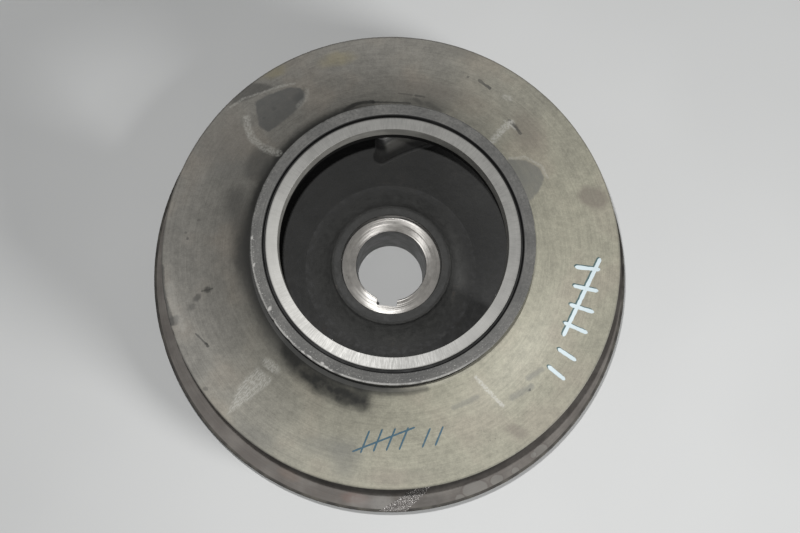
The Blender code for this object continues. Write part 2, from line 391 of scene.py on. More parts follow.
def make_neck(look):
    """Inlet neck with a bright face, a straight turned eye and a groove beside the wear ring."""
    straight_end = EYE_TOP - EYE_STRAIGHT
    eye = NECK_RADII[0]
    outer = NECK_RADII[1]
    base = [(THROAT_RADIUS, NECK_PLANE), (outer, NECK_PLANE)]
    groove = [(outer, EYE_TOP - GROOVE_DEPTH - 0.001), (outer, EYE_TOP - GROOVE_DEPTH)]
    groove += [(NECK_FACE_RADIUS, EYE_TOP - GROOVE_DEPTH), (NECK_FACE_RADIUS, EYE_TOP - 0.002)]
    face = arc((NECK_FACE_RADIUS - 0.0004, EYE_TOP - 0.0004), 0.0004, 0, 90, 3)
    face += flat_run(EYE_TOP, NECK_FACE_RADIUS - 0.001, eye + 0.0001, 8)
    wall = [(eye, EYE_TOP - 0.0001)]
    wall += upright_run(eye, EYE_TOP - 0.002, straight_end, 8)
    widening = THROAT_RADIUS - eye
    drop = NECK_PLANE - straight_end
    flare = []
    for step in range(1, FLARE_STEPS):
        share = step / FLARE_STEPS
        flare.append((eye + widening * share ** FLARE_EASE, straight_end + drop * share))
    stretches = [(look["hidden"], base), (look["groove"], groove), (look["face"], face)]
    stretches += [(look["wall"], wall), (look["cast"], flare)]
    return lathe("neck_body", stretches)


def make_wear_ring(look):
    """Turned ring seated round the neck, with broken and slightly knocked edges."""
    inner, outer = RING_RADII
    foot = [(inner, NECK_PLANE), (outer, NECK_PLANE)]
    side = upright_run(outer, NECK_PLANE + 0.004, RING_TOP - 0.002, 5)
    top = arc((outer - EDGE_BREAK, RING_TOP - EDGE_BREAK), EDGE_BREAK, 0, 90, 4)
    top += flat_run(RING_TOP, outer - 0.0012, inner + 0.0012, 8)
    bore = arc((inner + 0.0005, RING_TOP - 0.0005), 0.0005, 90, 180, 3)
    bore += [(inner, RING_TOP - 0.003)]
    stretches = [(look["side"], foot + side), (look["top"], top), (look["groove"], bore)]

    def roughen(point):
        radius = math.hypot(point.x, point.y)
        if radius < outer - 0.0009 or point.z < RING_TOP - 0.004:
            return Vector((0, 0, 0))
        size, amount = RING_EDGE
        wave = max(0.0, noise.noise(point / size) - 0.1) * amount
        return -outward(point) * (wave + nick_depth(point, "ring"))

    return lathe("wear_ring_body", stretches, roughen)


# Small knocks in each rim: angle in degrees, half width and depth
RIM_NICKS = {
    "back": [
        (253.0, 0.0022, 0.0009), (251.0, 0.0012, 0.0006), (202.0, 0.0016, 0.0007), (268.0, 0.0010, 0.0004),
        (221.0, 0.0010, 0.0003), (150.5, 0.0014, 0.0003), (32.0, 0.0015, 0.0004),
    ],
    "front": [(257.0, 0.0030, 0.0004), (250.0, 0.0040, 0.0005), (246.0, 0.0020, 0.0004)],
    "ring": [
        (273.0, 0.0016, 0.0005), (236.0, 0.0022, 0.0005), (226.0, 0.0030, 0.0004),
        (330.0, 0.0014, 0.0003), (104.0, 0.0012, 0.0003),
    ],
}


def nick_depth(point, rim):
    """How deep the knocks cut into a rim at this point."""
    angle = math.degrees(math.atan2(point.x, point.y)) % 360
    radius = math.hypot(point.x, point.y)
    depth = 0.0
    for centre, half, deep in RIM_NICKS[rim]:
        away = abs((angle - centre + 180) % 360 - 180) * math.tau / 360 * radius
        if away < half:
            depth += deep * (0.5 + 0.5 * math.cos(math.pi * away / half))
    return depth


# Vanes


def vane_radius(along, nose_radius):
    """Radius of the vane's middle line: it leaves the eye gently and steepens towards the rim."""
    eased = INLET_SLOPE * along + (1 - INLET_SLOPE) * along ** 2
    return nose_radius + (VANE_END_RADIUS - nose_radius) * eased


def vane_loop(height_share, start_angle):
    """Closed loop of (point, outward normal) round the vane at one share of its height."""
    nose_radius = NOSE_FOOT_RADIUS + (NOSE_TOP_RADIUS - NOSE_FOOT_RADIUS) * height_share
    middle = []
    for along in spread(0.0, 1.0, VANE_STATIONS):
        angle = math.radians(start_angle + VANE_WRAP * along)
        radius = vane_radius(along, nose_radius)
        middle.append(Vector((radius * math.sin(angle), radius * math.cos(angle))))
    half = VANE_THICKNESS / 2
    outer, inner = [], []
    for index, centre in enumerate(middle):
        heading = (middle[min(index + 1, VANE_STATIONS)] - middle[max(index - 1, 0)]).normalized()
        side = Vector((heading.y, -heading.x))
        outer.append((centre - side * half, -side))
        inner.append((centre + side * half, side))
    first = middle[1] - middle[0]
    heading = math.atan2(first.y, first.x)
    nose = []
    for step in range(1, NOSE_STEPS):
        turn = heading - math.pi / 2 - math.pi * step / NOSE_STEPS
        direction = Vector((math.cos(turn), math.sin(turn)))
        nose.append((middle[0] + direction * half, direction))
    return nose + outer + list(reversed(inner))


def fillet_reach(distance, radius):
    """How far a round fillet stands out at this distance from the surface that it joins."""
    if distance >= radius:
        return 0.0
    return radius - math.sqrt(radius ** 2 - (radius - distance) ** 2)


def vane_levels():
    """Rows up the vane: distance from the foot, share of the middle, or distance from the tip."""
    eased = [1 - math.cos(math.pi / 2 * step / FILLET_ROWS) for step in range(FILLET_ROWS)]
    levels = [("foot", FOOT_FILLET * share) for share in eased]
    levels += [("middle", share) for share in spread(0.0, 1.0, MIDDLE_ROWS - 1)]
    return levels + [("tip", TIP_FILLET * share) for share in reversed(eased)]


def make_vane(number, start_angle, material):
    """Curved vane with a round nose and cast fillets where it meets both shrouds."""
    bm = bmesh.new()
    rows = []
    for kind, value in vane_levels():
        share = {"foot": 0.0, "middle": value, "tip": 1.0}[kind]
        ring = []
        for point, normal in vane_loop(share, start_angle):
            reach = 0.0
            if kind == "foot":
                reach = fillet_reach(value, FOOT_FILLET)
            if kind == "tip":
                clear = clamped((point.length - THROAT_RADIUS) / 0.008)
                reach = fillet_reach(value, TIP_FILLET) * clear
            flared = point + normal * reach
            if flared.length > VANE_END_RADIUS:
                flared = flared.normalized() * VANE_END_RADIUS
            radius = flared.length
            foot = back_face(radius) - SEAT_SINK
            tip = front_inner(max(radius, THROAT_RADIUS)) + SEAT_SINK
            if kind == "foot":
                height = foot + value
            elif kind == "tip":
                height = tip - value
            else:
                height = foot + FOOT_FILLET + (tip - TIP_FILLET - foot - FOOT_FILLET) * value
            place = Vector((flared.x, flared.y, height))
            bump = noise.noise(place / VANE_SKIN[0]) * VANE_SKIN[1]
            place.x += normal.x * bump
            place.y += normal.y * bump
            ring.append(bm.verts.new(place))
        rows.append(ring)
    count = len(rows[0])
    for lower, upper in zip(rows, rows[1:]):
        for index in range(count):
            bm.faces.new((lower[index - 1], lower[index], upper[index], upper[index - 1]))
    for cap in (bm.faces.new(rows[0]), bm.faces.new(rows[-1])):
        bmesh.ops.triangulate(bm, faces=[cap])
    return finish_mesh("vane_body_%d" % number, bm, [material])


def make_scar(material):
    """Rough patch on the rim band, where the foot of a vane was turned away."""
    bm = bmesh.new()
    rows = []
    for row in range(SCAR_ROWS + 1):
        share = row / SCAR_ROWS
        radius = SCAR_RADII[0] + (SCAR_RADII[1] - SCAR_RADII[0]) * share
        centre = SCAR_MIDDLE[0] + SCAR_MIDDLE[1] * share
        half = SCAR_HALF[0] + SCAR_HALF[1] * share
        ring = []
        for column in range(SCAR_COLUMNS + 1):
            side = column / SCAR_COLUMNS * 2 - 1
            angle = math.radians(centre + side * half)
            wander = noise.noise(Vector((row * 0.35, side * 2.0, 3.7))) * 0.35
            angle += math.radians(wander) * abs(side)
            point = Vector((radius * math.sin(angle), radius * math.cos(angle), BACK_FRONT))
            edge = min(1.0, (1 - abs(side)) * 4, share * 6 + 0.2, (1 - share) * 8 + 0.1)
            grain = noise.noise(point / 0.0011) + 0.6 * noise.noise(point / 0.0005)
            point.z += 0.00004 + edge * 0.00022 * max(0.0, 0.55 + grain)
            ring.append(bm.verts.new(point))
        rows.append(ring)
    for lower, upper in zip(rows, rows[1:]):
        for column in range(SCAR_COLUMNS):
            bm.faces.new((lower[column], lower[column + 1], upper[column + 1], upper[column]))
    for vert in extruded(bm, list(bm.faces)):
        vert.co.z = BACK_FRONT - 0.0003
    return finish_mesh("vane_scar", bm, [material])


# Values on the wires of a material


class Value:
    """Number, vector or colour that a node gives out. Arithmetic with it makes further nodes."""

    def __init__(self, socket):
        self.socket = socket

    def __add__(self, other):
        return maths("ADD", self, other)

    def __sub__(self, other):
        return maths("SUBTRACT", self, other)

    def __rsub__(self, other):
        return maths("SUBTRACT", other, self)

    def __mul__(self, other):
        return maths("MULTIPLY", self, other)

    def __truediv__(self, other):
        return maths("DIVIDE", self, other)


def new_node(kind, *values):
    """Node in the same tree as those of the values that come out of nodes."""
    sockets = [value.socket for value in values if isinstance(value, Value)]
    return sockets[0].id_data.nodes.new(kind)


def plug(value, target):
    """Connects a value to a node's input, or sets the input where the value is a plain one."""
    if isinstance(value, Value):
        target.id_data.links.new(value.socket, target)
    else:
        target.default_value = value


def maths(operation, *values):
    node = new_node("ShaderNodeMath", *values)
    node.operation = operation
    for value, target in zip(values, node.inputs):
        plug(value, target)
    return Value(node.outputs[0])


def vector_maths(operation, *vectors, output="Vector"):
    node = new_node("ShaderNodeVectorMath", *vectors)
    node.operation = operation
    for vector, target in zip(vectors, node.inputs):
        plug(vector, target)
    return Value(node.outputs[output])


def dot(vector, way):
    return vector_maths("DOT_PRODUCT", vector, way, output="Value")


def scaled(vector, factor):
    node = new_node("ShaderNodeVectorMath", vector, factor)
    node.operation = "SCALE"
    plug(vector, node.inputs[0])
    plug(factor, node.inputs["Scale"])
    return Value(node.outputs["Vector"])


def noise_node(vector, size, detail, roughness):
    node = new_node("ShaderNodeTexNoise", vector)
    plug(vector, node.inputs["Vector"])
    node.inputs["Scale"].default_value = 1.0 / size
    node.inputs["Detail"].default_value = detail
    node.inputs["Roughness"].default_value = roughness
    return node


def noise_at(vector, size, detail=3.0, roughness=0.5):
    """Noise from 0 to 1 whose features are about size long, in the vector's units."""
    return Value(noise_node(vector, size, detail, roughness).outputs["Fac"])


def ramp(value, low, high, start=0.0, end=1.0):
    """Maps low..high of a value smoothly to start..end, and stays there beyond."""
    node = new_node("ShaderNodeMapRange", value)
    node.interpolation_type = "SMOOTHSTEP"
    node.clamp = False
    for setting, target in zip((value, low, high, start, end), node.inputs):
        plug(setting, target)
    return Value(node.outputs["Result"])


def swing(noise_value, amount):
    """Turns noise into a change of up to the amount either way."""
    return ramp(noise_value, 0.3, 0.7, -amount, amount)


def blend(factor, first, second):
    """Colour between two others."""
    node = new_node("ShaderNodeMix", factor, first, second)
    node.data_type = "RGBA"
    plug(factor, node.inputs[0])
    for colour, target in ((first, node.inputs[6]), (second, node.inputs[7])):
        plug((*colour, 1.0) if isinstance(colour, tuple) else colour, target)
    return Value(node.outputs[2])


def bumps(height, distance, normal=None):
    """Bump from a height of 0 to 1 that stands for a distance in metres."""
    node = new_node("ShaderNodeBump", height)
    node.inputs["Strength"].default_value = 1.0
    node.inputs["Distance"].default_value = distance
    plug(height, node.inputs["Height"])
    if normal is not None:
        plug(normal, node.inputs["Normal"])
    return Value(node.outputs["Normal"])


class Look:
    """New material, with places on the part in millimetres and their polar form round the shaft."""

    def __init__(self, name):
        self.material = bpy.data.materials.new(name)
        self.material.use_nodes = True
        nodes = self.material.node_tree.nodes
        self.inputs = nodes["Principled BSDF"].inputs
        self.place = Value(nodes.new("ShaderNodeTexCoord").outputs["Object"])
        self.point = scaled(self.place, 1000.0)
        self.flat = vector_maths("MULTIPLY", self.point, (1.0, 1.0, 0.0))
        self.radius = vector_maths("LENGTH", self.flat, output="Value")
        self.direction = vector_maths("NORMALIZE", self.flat)

    def height(self):
        return dot(self.point, (0.0, 0.0, 1.0))

    def towards(self, way):
        """Number that is 1 on the side of the way (x, y), and -1 on the side across the shaft."""
        return dot(self.direction, (*way, 0.0))

    def streaks(self, length, width, around=110.0, detail=2.0, roughness=0.6):
        """Noise in streaks along the turning, with length and width in millimetres."""
        along = scaled(self.direction, around / length)
        node = new_node("ShaderNodeCombineXYZ", along)
        plug(self.radius / width, node.inputs["Z"])
        return noise_at(vector_maths("ADD", along, Value(node.outputs[0])), 1.0, detail, roughness)

    def rings(self, along=0.08, across=3.0, detail=2.0):
        """Noise in fine rings round a wall that runs along the shaft."""
        return noise_at(vector_maths("MULTIPLY", self.point, (along, along, across)), 1.0, detail, 0.6)

    def finish(self, colour, roughness, metallic=0.0, normal=None, shine=0.5):
        """Connects the shader. shine is how much the surface mirrors, whatever its colour."""
        plug(colour, self.inputs["Base Color"])
        plug(roughness, self.inputs["Roughness"])
        self.inputs["Metallic"].default_value = metallic
        self.inputs["Specular IOR Level"].default_value = shine
        if normal is not None:
            plug(normal, self.inputs["Normal"])
        return self.material


# Masks from plain numbers, because a shader has room for few vectors at once. Corners of an area are
# rounded by the value below, in millimetres
CORNER_ROUNDING = 1.5


def offset(point, way, middle):
    """How far the point lies from the middle along a way, in units of 1 / the way's length."""
    return dot(point, (*way, 0.0)) - (way[0] * middle[0] + way[1] * middle[1])


def hypotenuse(first, second):
    return maths("SQRT", maths("MULTIPLY_ADD", first, first, second * second))


def oval_distance(point, x, y, half_length, half_width, turn):
    """Distance from the middle of an oval, 1 at its edge. turn is in degrees from +x."""
    way = (math.cos(math.radians(turn)), math.sin(math.radians(turn)))
    along = offset(point, (way[0] / half_length, way[1] / half_length), (x, y))
    across = offset(point, (-way[1] / half_width, way[0] / half_width), (x, y))
    return hypotenuse(along, across)


def patch(point, x, y, half_length, half_width, turn, soft):
    """Mask of an oval patch: 1 inside, 0 outside."""
    away = oval_distance(point, x, y, half_length, half_width, turn)
    return ramp(away, 1.0 - soft, 1.0 + soft, 1.0, 0.0)


def outline(point, x, y, half_length, half_width, turn, width):
    """Mask of the edge of an oval patch."""
    away = oval_distance(point, x, y, half_length, half_width, turn)
    return ramp(maths("ABSOLUTE", away - 1.0), 0.0, width, 1.0, 0.0)


def route_mask(point, route, half_width, soft):
    """Mask of a band along a route of (x, y) points: 1 inside, 0 outside."""
    nearest = None
    for start, end in zip(route, route[1:]):
        run = (end[0] - start[0], end[1] - start[1])
        length = math.hypot(*run)
        way = (run[0] / length, run[1] / length)
        middle = ((start[0] + end[0]) / 2, (start[1] + end[1]) / 2)
        ahead = maths("ABSOLUTE", offset(point, way, middle))
        past = maths("MAXIMUM", ahead - length / 2, 0.0)
        distance = hypotenuse(past, offset(point, (-way[1], way[0]), middle))
        nearest = distance if nearest is None else maths("MINIMUM", nearest, distance)
    return ramp(nearest, half_width * (1 - soft), half_width * (1 + soft), 1.0, 0.0)


def area_mask(point, corners, soft):
    """Mask of an area with straight sides and no hollow corners, listed clockwise. soft is in mm."""
    outside = None
    for index, corner in enumerate(corners):
        before = corners[index - 1]
        run = (corner[0] - before[0], corner[1] - before[1])
        length = math.hypot(*run)
        beyond = offset(point, (-run[1] / length, run[0] / length), corner)
        outside = beyond if outside is None else maths("SMOOTH_MAX", outside, beyond, CORNER_ROUNDING)
    return ramp(outside, -soft, soft, 1.0, 0.0)


def warped(point, size, amount):
    """The point pushed about by noise, so that patches get ragged edges."""
    colour = Value(noise_node(point, size, 3.0, 0.6).outputs["Color"])
    pushed = scaled(vector_maths("SUBTRACT", colour, (0.5, 0.5, 0.5)), amount * 2)
    return vector_maths("ADD", point, vector_maths("MULTIPLY", pushed, (1.0, 1.0, 0.0)))


# Stains of the turned face, and painted shade on it, by their real place on the part in millimetres
DARK = (0.050, 0.049, 0.046)
GREY = (0.090, 0.090, 0.086)
BLACK = (0.018, 0.018, 0.016)
BROWN = (0.135, 0.112, 0.096)
YELLOW = (0.270, 0.232, 0.118)
PALE = (0.420, 0.412, 0.375)
BLUEGREY = (0.120, 0.122, 0.116)

# Oval stains, and one painted shadow: colour, x, y, half length, half width, turn, softness, strength
FACE_STAINS_AND_SHADOW = [
    (DARK, -61.5, 103.5, 4.0, 3.2, -30, 0.40, 0.60),  # dark end of the tongue
    (BLACK, -77.1, 95.9, 1.6, 1.1, 30, 0.40, 0.60),  # spot on the tongue
    (BLACK, -83.5, 89.8, 1.3, 1.0, 0, 0.40, 0.50),  # second spot on the tongue
    (BLACK, -59.5, 104.5, 2.2, 6.0, -25, 0.60, 0.50),  # dark edge of the tongue
    # painted shadow of the wear ring on the face, upper left
    (DARK, -85.0, 57.0, 12.0, 9.5, 75, 0.35, 0.66),  # patch by the ring, upper left
    (BLACK, -93.0, -1.0, 15.0, 6.0, 88, 0.55, 0.55),  # core of the left smear
    (BLACK, -116.7, -23.2, 2.3, 2.1, 0, 0.40, 0.75),  # blob one
    (DARK, -123.5, -28.0, 3.0, 2.0, 40, 0.40, 0.70),  # blob two
    (DARK, -138.5, -42.0, 4.6, 2.6, 25, 0.35, 0.62),  # bulge of the worn rim
    (BROWN, 4.0, -140.0, 22.0, 4.0, 0, 0.60, 0.24),  # pink bloom, bottom
    (DARK, -127.0, -34.0, 2.6, 2.0, 30, 0.45, 0.45),  # blob three
    (DARK, 80.0, 84.2, 3.0, 1.9, -51, 0.30, 0.70),  # thick middle of the lower dash
    (DARK, 50.1, 119.0, 0.9, 0.7, 0, 0.40, 0.60),  # tiny spot by the upper dash
    (BROWN, 131.0, 38.0, 10.5, 7.5, -15, 0.30, 0.62),  # patch at the right rim
    (BROWN, 88.0, 82.0, 10.0, 14.0, 20, 0.60, 0.48),  # purple-brown smudge
    (GREY, 46.0, 137.0, 15.0, 4.5, -16, 0.70, 0.32),  # cloud at the top
    (DARK, 22.0, 95.0, 14.0, 5.0, -8, 0.60, 0.38),  # cloud by the ring, top
    (BROWN, 24.0, 108.0, 24.0, 8.0, -12, 0.70, 0.30),  # brown cloud by the ring, top
    (GREY, -108.0, 68.0, 16.0, 22.0, 25, 0.80, 0.35),  # cloud, upper left
    (GREY, -84.0, -115.0, 14.0, 5.0, -32, 0.60, 0.38),  # smudge at the lower left rim
    (BLUEGREY, -39.0, -121.0, 15.0, 6.0, -8, 0.70, 0.35),  # smudge, low
    (BLUEGREY, -29.0, -128.0, 8.0, 12.0, -15, 0.75, 0.35),  # cloud beside the blue marks
    (YELLOW, -36.5, 131.0, 10.0, 4.5, 12, 0.70, 0.42),  # yellow bloom, top
    (YELLOW, -77.5, 122.0, 7.5, 3.2, 25, 0.70, 0.42),  # yellow bloom, upper left
    (BROWN, 78.0, -111.5, 7.0, 3.0, -20, 0.60, 0.45),  # brown bloom, low
    (DARK, -117.0, -85.0, 1.6, 1.2, 0, 0.40, 0.50),  # spot
    (DARK, -131.0, 10.0, 1.0, 0.8, 0, 0.40, 0.60),  # mark one at the left
    (DARK, -132.0, 14.0, 0.9, 0.7, 0, 0.40, 0.50),  # mark two at the left
    (DARK, -124.0, 22.0, 1.0, 0.8, 0, 0.40, 0.50),  # mark three at the left
    (BLACK, 86.0, -86.0, 0.9, 0.9, 0, 0.30, 0.75),  # dot at the lower right
]

# Stains with straight sides: colour, corners clockwise, softness in mm, strength
FACE_AREAS = [
    # Tongue of old paint
    (GREY, [
        (-90, 101), (-83, 105.5), (-75, 109), (-67, 111.5), (-60, 110.5), (-56.5, 106), (-58, 99), (-64, 92),
        (-80, 79), (-86.5, 84)], 0.8, 0.88),
    # Scuff at the rim
    (DARK, [
        (-106.5, 99.5), (-102, 107), (-93.5, 114.5), (-83, 114), (-77, 111.5), (-95.5, 102.5)], 1.2, 0.66),
    # Grey patch by the ring
    (BLUEGREY, [
        (72, 58), (85, 60.5), (95, 56), (98, 49), (94, 40), (86, 31), (80, 28)], 0.9, 0.72),
]

# Grime and painted shade round the wear ring: the middle of its edge as it shows, where it fades, its darkest
# side, and its tone on the shoulder
COLLAR_CENTRE = (0.4, 4.8, 0.0)
COLLAR_REACH = (89.5, 98.5)
COLLAR_WAY = (-0.99, -0.139)
SHOULDER_GRIME_AND_SHADE = (0.007, 0.007, 0.0065)

# Stains drawn along a route: colour, route, half width, softness, strength
FACE_SMEARS = [
    # Smear left of the ring
    (DARK, [
        (-100, 34), (-95, 18), (-92, 0), (-89, -17), (-83, -31), (-74, -50), (-61, -66)], 7.5, 0.75, 0.62),
    # Black smudge under the ring
    (BLACK, [(-63, -63), (-56, -73), (-46, -82), (-32, -89), (-19, -93)],
     6.0, 0.65, 1.0),
    (BLACK, [(-56, -67), (-36, -79.5), (-20, -84.5)], 2.3, 0.60, 0.95),  # edge of the smudge
    (BLACK, [(-29, -90.5), (-16, -88.5)], 3.2, 0.90, 0.50),  # tail of the smudge
    (BLACK, [(-22, -85), (-8, -87.5), (8, -88), (20, -86)], 1.7, 0.95, 0.55),  # end of the tail
    # Worn rim at the left
    (DARK, [(-147.3, -8), (-146.6, -20), (-144.5, -30), (-142, -37), (-139.5, -44)],
     1.9, 0.25, 0.72),
    (DARK, [(57.6, 116.6), (64.4, 111.4)], 1.05, 0.25, 0.80),  # short dash, upper
    (DARK, [(76.5, 88.4), (83.6, 79.5)], 1.00, 0.30, 0.75),  # short dash, lower
    # Mark on the ring's edge
    (BLACK, [(-30, 91), (-27, 93.5), (-22.5, 95.7), (-17, 96.8), (-12.5, 96.8)],
     1.5, 0.45, 0.88),
    (BLACK, [(-13, 96.4), (-1.5, 96.3), (11, 95.6)], 0.8, 0.50, 0.70),  # line along the ring, top
    (DARK, [(4.3, 104.2), (12.7, 103.2)], 0.6, 0.60, 0.50),  # mark one above the ring
    (DARK, [(15.3, 103.0), (20.5, 101.9)], 0.8, 0.50, 0.62),  # mark two above the ring
    (DARK, [(14.5, 99.8), (18.3, 96.4)], 1.5, 0.60, 0.45),  # mark three above the ring
    (DARK, [(22.8, 95.9), (29.7, 90.8)], 2.0, 0.60, 0.45),  # mark four above the ring
    (BLACK, [(-120.5, -24.0), (-113.3, -22.6)], 0.5, 0.50, 0.60),  # whisker of blob one
    (DARK, [(-124, -51), (-116.5, -57.5)], 0.5, 0.40, 0.75),  # scratch at the left
    (BLACK, [(-117.5, -57.0), (-116, -58.5)], 0.8, 0.40, 0.70),  # end of the scratch
    (BLUEGREY, [(75, -91), (87, -84)], 1.9, 0.60, 0.50),  # streak one, lower right
    (BLUEGREY, [(85, -79), (94, -73.5)], 1.6, 0.60, 0.50),  # streak two, lower right
    (BLUEGREY, [(38, -97), (52, -91)], 1.7, 0.60, 0.42),  # streak, low
]

# Pale scrapes: route, half width, softness, strength
PALE_SCRAPES = [
    ([(-106, 98), (-97, 104), (-85, 108), (-74, 112), (-64, 114)], 0.8, 0.5, 0.42),  # line above the tongue
    ([(-56, 109), (-56, 103), (-61, 97)], 1.7, 0.7, 0.32),  # halo at the tongue's end
    ([(-95, 90), (-94, 83), (-91, 76), (-84, 69), (-72, 62)], 2.3, 0.5, 0.62),  # curved scrape
    ([(62, 69), (67, 75), (72, 82), (78, 87)], 2.2, 0.5, 0.80),  # scrape, upper right
    ([(73, 88), (80, 82)], 0.7, 0.5, 0.60),  # hatch beside the scrape
    ([(74.5, 105.5), (77.5, 104.5)], 2.0, 0.6, 0.40),  # light spot
    ([(74, 59), (85, 62.5), (96, 58), (100, 50)], 0.9, 0.6, 0.38),  # edge of the grey patch
    ([(51, -79), (69, -96)], 1.25, 0.4, 0.75),  # scrape, lower right
    ([(-141, -20), (-138.5, -34), (-132, -47)], 2.4, 0.8, 0.22),  # yellowed edge of the worn rim
]


# Hatched scrape at the lower left: its small upper blob, its body, and the lines' direction and sizes
HATCH_BLOB = (-75.0, -71.5, 6.6, 3.1, -37)
HATCH_BODY = [(-103, -101), (-95, -82), (-83.5, -72), (-75, -79), (-76, -82), (-98.5, -98.5)]
HATCH_TURN = 50
HATCH_LINES = (2.6, 0.8, 1.0)

# Patch of dark specks at the lower right: x, y, half length, half width, turn
SPECKS = (60.0, -114.0, 8.0, 5.0, -15)

# Bare metal of the turned face: its cooler left, its warmer lower right and where it has browned
FACE_COOL = (0.188, 0.180, 0.160)
FACE_WARM = (0.268, 0.258, 0.202)
FACE_BROWNED = (0.212, 0.184, 0.150)
FACE_WARM_WAY = (0.0054, -0.0037, 0.0)
FACE_CHANGES = {"clouds": 0.10, "mottle": 0.10, "speckle": 0.09, "streaks": 0.06, "fine": 0.05, "grain": 0.07}


def face_metal(look):
    """Bare turned metal of the face, with the marks that its stains and its bumps share."""
    marks = {
        "clouds": noise_at(look.flat, 42.0),
        "mottle": noise_at(look.flat, 7.0, 4.0, 0.6),
        "speckle": noise_at(look.flat, 2.2, 3.0, 0.65),
        "grain": noise_at(look.flat, 0.9, 2.0, 0.6),
        "streaks": look.streaks(34.0, 1.5),
        "fine": look.streaks(16.0, 0.45),
    }
    warm = ramp(dot(look.flat, FACE_WARM_WAY) + marks["clouds"] * 0.5, -0.35, 0.85)
    colour = blend(warm, FACE_COOL, FACE_WARM)
    colour = blend(ramp(marks["clouds"], 0.47, 0.66, 0.0, 0.40), colour, FACE_BROWNED)
    shade = 1.0
    for kind, amount in FACE_CHANGES.items():
        shade = ramp(marks[kind], 0.28, 0.72, -amount, amount) + shade
    return scaled(colour, shade), marks


def face_stains_and_shade(look, colour, mottle):
    """The face's dark stains and smears, dirt and painted shade round the ring, and one painted shadow, laid
    over its metal, one after the other.
    """
    ragged = warped(look.flat, 9.0, 3.2)
    crisp = warped(look.flat, 3.0, 1.0)
    broken = ramp(mottle, 0.25, 0.65, 0.70, 1.0)
    # grime and painted shade against the wear ring, strongest on its left side
    from_ring = vector_maths("LENGTH", vector_maths("SUBTRACT", crisp, COLLAR_CENTRE), output="Value")
    left = look.towards(COLLAR_WAY)
    collar = ramp(from_ring, *COLLAR_REACH, 1.0, 0.0) * ramp(left, -0.20, 0.25, 0.0, 0.97)
    collar_tone = blend(ramp(look.radius, 87.6, 88.4), SHOULDER_GRIME_AND_SHADE, BLACK)
    colour = blend(collar, colour, collar_tone)

    def stained(colour, stain, mask, strength):
        return blend(mask * broken * strength, colour, stain)

    for stain, *oval, soft, strength in FACE_STAINS_AND_SHADOW:
        point = ragged if oval[2] > 4.5 else crisp
        colour = stained(colour, stain, patch(point, *oval, soft), strength)
    for stain, corners, soft, strength in FACE_AREAS:
        colour = stained(colour, stain, area_mask(crisp, corners, soft), strength)
    for stain, route, half, soft, strength in FACE_SMEARS:
        point = ragged if half > 2.5 else crisp
        colour = stained(colour, stain, route_mask(point, route, half, soft), strength)
    return colour


def face_scrapes(look, colour):
    """Pale scrapes, the hatched scrape and a few specks laid over the stained face."""
    crisp = warped(look.flat, 3.0, 1.0)
    scuff = noise_at(look.flat, 1.6, 3.0, 0.65)
    for route, half, soft, strength in PALE_SCRAPES:
        mask = route_mask(crisp, route, half, soft)
        colour = blend(mask * ramp(scuff, 0.38, 0.60, 0.15, strength), colour, PALE)
    lines = new_node("ShaderNodeMapping", look.flat)
    lines.vector_type = "TEXTURE"
    plug(look.flat, lines.inputs["Vector"])
    lines.inputs["Rotation"].default_value = (0.0, 0.0, math.radians(HATCH_TURN))
    lines.inputs["Scale"].default_value = HATCH_LINES
    hatch = noise_at(Value(lines.outputs["Vector"]), 1.0, 2.0, 0.6)
    both = maths("MAXIMUM", patch(crisp, *HATCH_BLOB, 0.3), area_mask(crisp, HATCH_BODY, 1.2))
    colour = blend(both * ramp(hatch, 0.42, 0.60, 0.15, 0.62), colour, PALE)
    specks = patch(crisp, *SPECKS, 0.5) * ramp(scuff, 0.60, 0.68, 0.0, 0.65)
    return blend(specks, colour, DARK)


def turned_face():
    """Khaki-grey turned iron with stains, scrapes and fine marks along the turning."""
    look = Look("turned_face")
    colour, marks = face_metal(look)
    marks_along = marks["fine"] + marks["grain"]
    colour = face_scrapes(look, face_stains_and_shade(look, colour, marks["mottle"]))
    colour = blend(ramp(look.radius, 145.9, 147.3, 0.0, 0.45), colour, DARK)
    roughness = ramp(dot(colour, (0.33, 0.33, 0.33)), 0.03, 0.22, 0.70, 0.60)
    coarse = bumps(marks["streaks"], 0.00003)
    return look.finish(colour, roughness, 0.12, bumps(marks_along, 0.00003, coarse))


# Tones of each metal, and of the floor: dark and light, or clean and darkened by grime and painted shade
RIM_TONES = (0.048, 0.045, 0.041), (0.092, 0.086, 0.074)
BAND_TONES = (0.100, 0.088, 0.078), (0.142, 0.129, 0.115)
RING_TONES = (0.074, 0.073, 0.069), (0.102, 0.100, 0.094)
RING_SIDE_TONES = (0.128, 0.125, 0.115), (0.016, 0.016, 0.015)
SCAR_TONES = (0.10, 0.092, 0.086), (0.50, 0.48, 0.46)
REAR_TONES = (0.17, 0.162, 0.146), (0.26, 0.248, 0.215)
REAR_STAIN = (0.085, 0.075, 0.065)
FLOOR_TONES = (0.60, 0.605, 0.60), (0.64, 0.645, 0.64)


def rim_side():
    """Outer edges of the shrouds: turned, with dark scale in their marks."""
    look = Look("rim_side")
    band = look.rings(0.06, 2.2, 3.0)
    cloud = noise_at(look.point, 9.0)
    colour = blend(ramp(cloud, 0.35, 0.7), *RIM_TONES)
    colour = scaled(colour, ramp(band, 0.3, 0.7, 0.8, 1.15))
    roughness = ramp(band, 0.2, 0.8, 0.50, 0.65)
    return look.finish(colour, roughness, 0.20, bumps(band, 0.00006), shine=0.2)


# Cast skin
PLATE_TONE = (0.026, 0.026, 0.0248)
CAST_TONE = (0.105, 0.104, 0.100)
RUST = (0.075, 0.058, 0.046)
EAST = (0.966, -0.259)
VANE_NOSE = (0.30, 0.292, 0.27)
# near-black of painted shade
SHADE_BLACK = (0.004, 0.004, 0.004)
NOSE_EDGE_WAY = (0.98, 0.0, 0.058)


